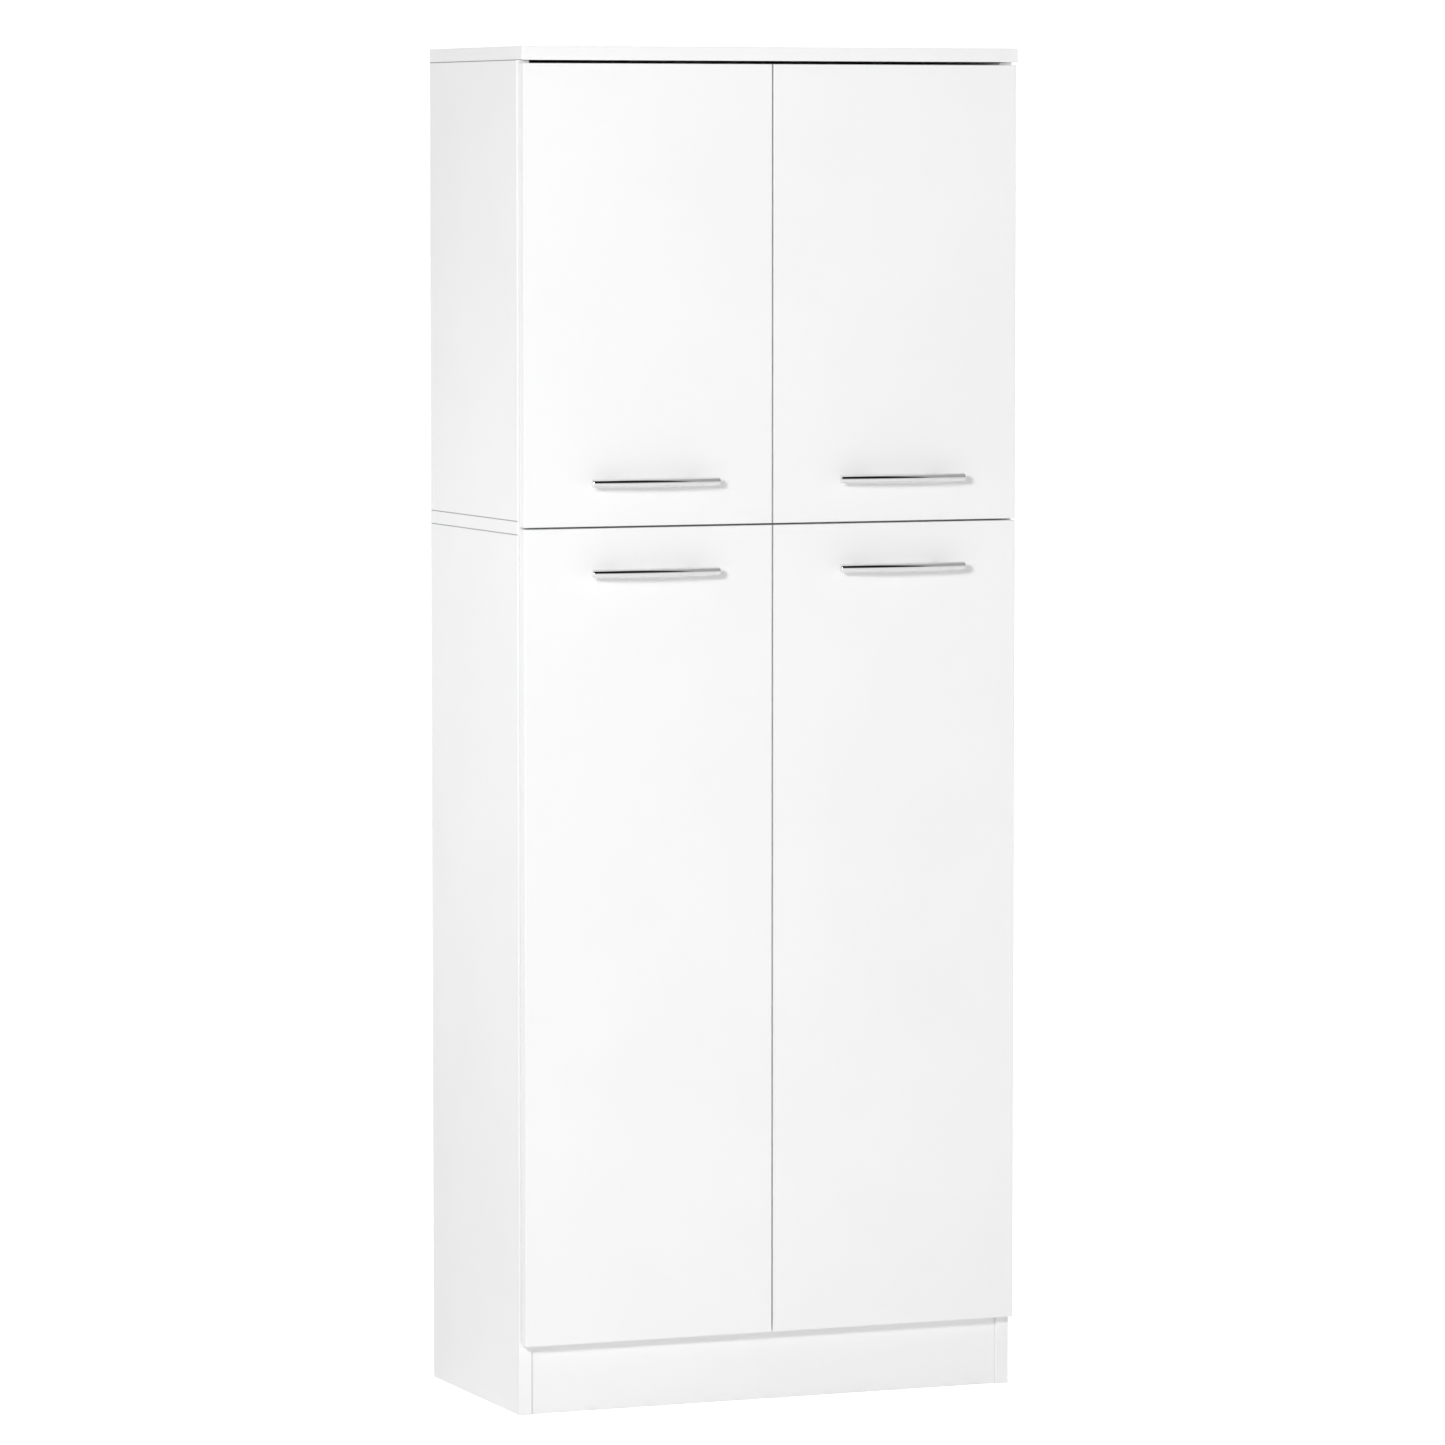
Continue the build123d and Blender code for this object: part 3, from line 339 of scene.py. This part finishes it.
def bumper_material():
    """Clear soft polyurethane, slightly cloudy."""
    material, graph = new_material("clear_bumper", IOR=1.5, Transmission_Weight=0.6)
    cloud = graph.ramp(graph.noise(700, 2.0), 0.3, 0.7)
    graph.feed(graph.shader.inputs["Base Color"], graph.mix(cloud, CLEAR, CLOUDY))
    graph.feed(graph.shader.inputs["Roughness"], graph.ramp(cloud, 0.0, 1.0, 0.15, 0.28))
    return material


for door_name in DOOR_NAMES:
    for part in ("hinge_cups", "outer_links", "inner_links", "hinge_arms", "mounting_plates"):
        give(f"{door_name}_{part}", nickel)
    give(f"{door_name}_cup_screws", zinc_plate)
    give(f"{door_name}_handle_screws", zinc_plate)
for node in ("plate_screws", "arm_screws", "cam_bolts", "back_panel_nails", "shelf_pins"):
    give(node, zinc_plate)
give("cam_locks", cast_zinc)
give("dowels", beech_material())


# ---------------------------------------------------------------- pieces built here

def mesh_piece(name, vertices, faces, material, body):
    """A smooth mesh in the row frame that rides a body."""
    mesh = bpy.data.meshes.new(name)
    mesh.from_pydata(vertices, [], faces)
    mesh.validate()
    mesh.update()
    mesh.polygons.foreach_set("use_smooth", [True] * len(mesh.polygons))
    mesh.materials.append(material)
    piece = bpy.data.objects.new(name, mesh)
    bpy.context.scene.collection.objects.link(piece)
    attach(piece, body)
    return piece


def tube(rings):
    """Vertices and faces of a closed tube through rings of points, capped at both ends."""
    count = len(rings[0])
    vertices = [point for ring in rings for point in ring]
    faces = []
    for row in range(len(rings) - 1):
        for step in range(count):
            here, there = row * count + step, row * count + (step + 1) % count
            faces.append((here, there, there + count, here + count))
    for row, order in ((0, -1), (len(rings) - 1, 1)):
        centre = len(vertices)
        vertices.append(sum((Vector(p) for p in rings[row]), Vector()) / count)
        for step in range(count):
            here, there = row * count + step, row * count + (step + 1) % count
            faces.append((here, there, centre) if order > 0 else (there, here, centre))
    return vertices, faces


def joined(tubes):
    """Vertices and faces of several tubes as one list of each."""
    vertices, faces = [], []
    for more, extra in tubes:
        faces += [tuple(index + len(vertices) for index in face) for face in extra]
        vertices += more
    return vertices, faces


def front_ring(x, y, z, radius, sides):
    """A ring of points round a line that runs front to back."""
    turns = [2 * math.pi * step / sides for step in range(sides)]
    return [Vector((x + radius * math.cos(t), y, z + radius * math.sin(t))) for t in turns]


HANDLE_PITCH = 96 * MM
HANDLE_BOW = 6 * MM
HANDLE_TAPER = 0.06  # share of the radius lost towards the ends
HANDLE_INSET = 0.4 * MM  # of each end, from the CAD handle's
BAR_STATIONS = 96
BAR_SIDES = 48
END_ROUND = 1.4 * MM
END_STATIONS = 8
# Distance from the door and radius, in millimetres: a small foot, a waist and a flare into the bar
POST_PROFILE = (
    (0.0, 3.7), (0.4, 4.0), (1.2, 4.0), (2.2, 3.75),
    (4.0, 3.6), (13.0, 3.6), (17.0, 3.75), (20.0, 4.1),
)
POST_SIDES = 32


def bar_rings(centre_x, axis_y, level, radius, half_length):
    """Rings along the bowed bar, rounded over at both ends."""
    sweep_radius = (half_length ** 2 + HANDLE_BOW ** 2) / (2 * HANDLE_BOW)
    limit = math.asin(half_length / sweep_radius)
    round_angle = END_ROUND / sweep_radius
    stations = []  # angle along the bow, and how much of the end rounding is reached
    for k in range(END_STATIONS):
        quarter = math.pi / 2 * k / END_STATIONS
        stations.append((-limit + round_angle * (1 - math.cos(quarter)), math.sin(quarter)))
    inner = limit - round_angle
    stations += [(-inner + 2 * inner * k / BAR_STATIONS, 1.0) for k in range(BAR_STATIONS + 1)]
    stations += [(-angle, rounding) for angle, rounding in reversed(stations[:END_STATIONS])]
    rings = []
    for angle, rounding in stations:
        share = abs(angle) / limit
        ring_radius = radius * (1 - HANDLE_TAPER * share ** 2) - END_ROUND * (1 - rounding)
        x = centre_x + sweep_radius * math.sin(angle)
        y = axis_y + sweep_radius * (1 - math.cos(angle))
        centre = Vector((x, y, level))
        outward = Vector((math.sin(angle), -math.cos(angle), 0))
        upward = Vector((0, 0, 1))
        turns = [2 * math.pi * step / BAR_SIDES for step in range(BAR_SIDES)]
        rings.append([
            centre + ring_radius * (math.cos(turn) * outward + math.sin(turn) * upward)
            for turn in turns
        ])
    return rings


def post_rings(x, door_y, level):
    """Rings of a post from the door to inside the bar."""
    return [
        front_ring(x, door_y - reach * MM, level, radius * MM, POST_SIDES)
        for reach, radius in POST_PROFILE
    ]


def make_handle(door_name):
    """A bowed chrome bar on two flared posts, in place of the plain CAD one."""
    low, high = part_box(f"{door_name}_handle")
    centre_x, level = (low.x + high.x) / 2, (low.z + high.z) / 2
    radius = (high.z - low.z) / 2
    half_length = (high.x - low.x) / 2 - HANDLE_INSET
    tubes = [tube(bar_rings(centre_x, low.y + radius, level, radius, half_length))]
    for side in (-1, 1):
        tubes.append(tube(post_rings(centre_x + side * HANDLE_PITCH / 2, high.y, level)))
    vertices, faces = joined(tubes)
    piece = mesh_piece(f"{door_name}_bow_handle", vertices, faces, chrome, f"{door_name}_door")
    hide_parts(f"{door_name}_handle")


for door_name in DOOR_NAMES:
    make_handle(door_name)


def solid_boxes(node):
    """Lowest and highest corner of each separate solid of a CAD node."""
    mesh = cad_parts[node].data
    leader = list(range(len(mesh.vertices)))

    def find(index):
        while leader[index] != index:
            leader[index] = leader[leader[index]]
            index = leader[index]
        return index

    places = {}
    for vertex in mesh.vertices:
        key = tuple(round(value, 6) for value in vertex.co)
        leader[vertex.index] = places.setdefault(key, vertex.index)
    for edge in mesh.edges:
        first, second = find(edge.vertices[0]), find(edge.vertices[1])
        leader[first] = second
    groups = {}
    for vertex in mesh.vertices:
        groups.setdefault(find(vertex.index), []).append(vertex.co)
    boxes = []
    for points in groups.values():
        low = Vector(min(p[axis] for p in points) for axis in range(3))
        high = Vector(max(p[axis] for p in points) for axis in range(3))
        boxes.append((low, high))
    return sorted(boxes, key=lambda box: tuple(box[0]))


DOME_LEVELS = (0.0, 0.15, 0.35, 0.6, 0.8, 0.92, 0.98)  # shares of a bumper's height
DOME_POWER = 2.4  # 2 is an ellipse, and more is fuller
DOME_SIDES = 24


def make_bumpers():
    """Domed stick-on dots on the carcass front edges."""
    tubes = []
    for low, high in solid_boxes("door_bumpers"):
        centre = (low + high) / 2
        radius, height = (high.x - low.x) / 2, high.y - low.y
        rings = []
        for share in DOME_LEVELS:
            size = radius * math.sqrt(max(0.0, 1 - share ** DOME_POWER))
            rings.append(front_ring(centre.x, high.y - height * share, centre.z, size, DOME_SIDES))
        tubes.append(tube(rings))
    vertices, faces = joined(tubes)
    piece = mesh_piece("domed_bumpers", vertices, faces, bumper_material(), "cabinet")
    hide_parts("door_bumpers")


make_bumpers()


# ---------------------------------------------------------------- floor, light and camera

FLOOR_REACH = 60.0
FLOOR_LIGHT = (0.86, 0.86, 0.86, 1)
FLOOR_DARK = (0.84, 0.84, 0.84, 1)
FLOOR_GLOW = 0.20
FLOOR_GLOW_SEEN = 0.40  # more, to the camera only: the photo's floor is pure white

# Directions seen from the cabinet: from the left, to the right, lowest, highest, softness
FLAG_MAIN = (-1, 31, 6, 62, 2.5)
FLAG_TAIL = (28, 46, 54, 66, 4)
FLAG_TAIL_SHARE = 0.6
FLAG_DARKNESS = 0.97
ROOM_LEFT = 0.50
ROOM_RIGHT = 0.43
CEILING = 0.5
CEILING_FROM, CEILING_TO = 50, 75
BACKDROP = 1.05  # what the camera sees behind the cabinet

# Target, azimuth, elevation, distance, size, watts, and whether it shows in reflections
SOFTBOXES = {
    "key": (middle, -35, 14, 4.0, 0.5, 78, True),
    "side_fill": (Vector((cad_low.x, middle.y, 0.86)), -90, 2, 0.85, 0.3, 1.2, True),
    "front_fill": (middle, 28, -1, 4.0, 1.2, 7.5, False),
    "right_fill": (middle, 96, 8, 3.0, 1.2, 20, False),
}

CAMERA_LENS = 184.3
CAMERA_AZIMUTH = -21.81
CAMERA_ELEVATION = 4.406
CAMERA_DISTANCE = 8.428
CAMERA_AIM = Vector((-5.4, 1.9, -2.2)) * MM  # from the cabinet's middle


def make_floor():
    """A wide pale floor."""
    mesh = bpy.data.meshes.new("floor")
    corners = [
        (-FLOOR_REACH, -FLOOR_REACH, 0), (FLOOR_REACH, -FLOOR_REACH, 0),
        (FLOOR_REACH, FLOOR_REACH, 0), (-FLOOR_REACH, FLOOR_REACH, 0),
    ]
    mesh.from_pydata(corners, [], [(0, 1, 2, 3)])
    floor = bpy.data.objects.new("floor", mesh)
    bpy.context.scene.collection.objects.link(floor)
    material, graph = new_material("studio_floor", Roughness=0.9)
    patches = graph.noise(2.0, 2.0)
    colour = graph.mix(graph.ramp(patches, 0.3, 0.7), FLOOR_DARK, FLOOR_LIGHT)
    graph.feed(graph.shader.inputs["Base Color"], colour)
    graph.shader.inputs["Emission Color"].default_value = (1, 1, 1, 1)
    seen_glow = graph.math("MULTIPLY", graph.camera_ray(), FLOOR_GLOW_SEEN)
    glow = graph.math("ADD", seen_glow, FLOOR_GLOW)
    graph.feed(graph.shader.inputs["Emission Strength"], glow)
    mesh.materials.append(material)


def make_world():
    """A white studio: even light, with a dark flag in front that only polished metal shows."""
    world = bpy.data.worlds.new("studio")
    bpy.context.scene.world = world
    world.use_nodes = True
    graph = Graph(world.node_tree)
    background = world.node_tree.nodes["Background"]
    direction = world.node_tree.nodes.new("ShaderNodeTexCoord").outputs["Generated"]
    axes = graph.axes(direction)
    azimuth = graph.math("ARCTAN2", axes[0], graph.math("MULTIPLY", axes[1], -1.0))
    elevation = graph.math("ARCSINE", axes[2])

    def patch(left, right, low, high, soft):
        """1 inside a range of directions, fading over the soft margin."""
        inside = 1.0
        for value, start, end in ((azimuth, left, right), (elevation, low, high)):
            for edge, before, after in ((start, 0.0, 1.0), (end, 1.0, 0.0)):
                fade = (math.radians(edge - soft), math.radians(edge + soft))
                inside = graph.math("MULTIPLY", inside, graph.ramp(value, *fade, before, after))
        return inside

    tail = graph.math("MULTIPLY", patch(*FLAG_TAIL), FLAG_TAIL_SHARE)
    flag = graph.math("MAXIMUM", patch(*FLAG_MAIN), tail)
    unflagged = graph.math("SUBTRACT", 1.0, graph.math("MULTIPLY", flag, FLAG_DARKNESS))
    side_light = graph.ramp(axes[0], -1.0, 1.0, ROOM_LEFT, ROOM_RIGHT)
    ceiling_fade = (math.radians(CEILING_FROM), math.radians(CEILING_TO))
    ceiling = graph.ramp(elevation, *ceiling_fade, 0.0, CEILING)
    level = graph.math("MULTIPLY", graph.math("ADD", side_light, ceiling), unflagged)
    seen = graph.camera_ray()
    lit = graph.math("MULTIPLY", level, graph.math("SUBTRACT", 1.0, seen))
    strength = graph.math("ADD", lit, graph.math("MULTIPLY", seen, BACKDROP))
    background.inputs["Color"].default_value = (1.0, 1.0, 1.0, 1)
    graph.feed(background.inputs["Strength"], strength)


def aim(thing, target, azimuth, elevation, distance):
    """Puts a light or camera off in a direction, looking back at its target."""
    around, above = math.radians(azimuth), math.radians(elevation)
    towards = Vector((
        math.sin(around) * math.cos(above),
        -math.cos(around) * math.cos(above),
        math.sin(above),
    ))
    thing.location = target + towards * distance
    thing.rotation_mode = "QUATERNION"
    thing.rotation_quaternion = (-towards).to_track_quat("-Z", "Y")
    bpy.context.scene.collection.objects.link(thing)


def make_softbox(name, target, azimuth, elevation, distance, size, power, reflected):
    """A square soft light aimed at a point."""
    light = bpy.data.lights.new(name, "AREA")
    light.size = size
    light.energy = power
    softbox = bpy.data.objects.new(name, light)
    softbox.visible_camera = False
    softbox.visible_glossy = reflected
    aim(softbox, target, azimuth, elevation, distance)


def make_camera():
    """A long lens from the front left, a little above the middle."""
    camera_data = bpy.data.cameras.new("camera")
    camera_data.lens = CAMERA_LENS
    camera = bpy.data.objects.new("camera", camera_data)
    aim(camera, middle + CAMERA_AIM, CAMERA_AZIMUTH, CAMERA_ELEVATION, CAMERA_DISTANCE)
    bpy.context.scene.camera = camera


make_floor()
make_world()
for softbox_name, settings in SOFTBOXES.items():
    make_softbox(softbox_name, *settings)
make_camera()
bpy.context.scene.view_settings.view_transform = "Standard"
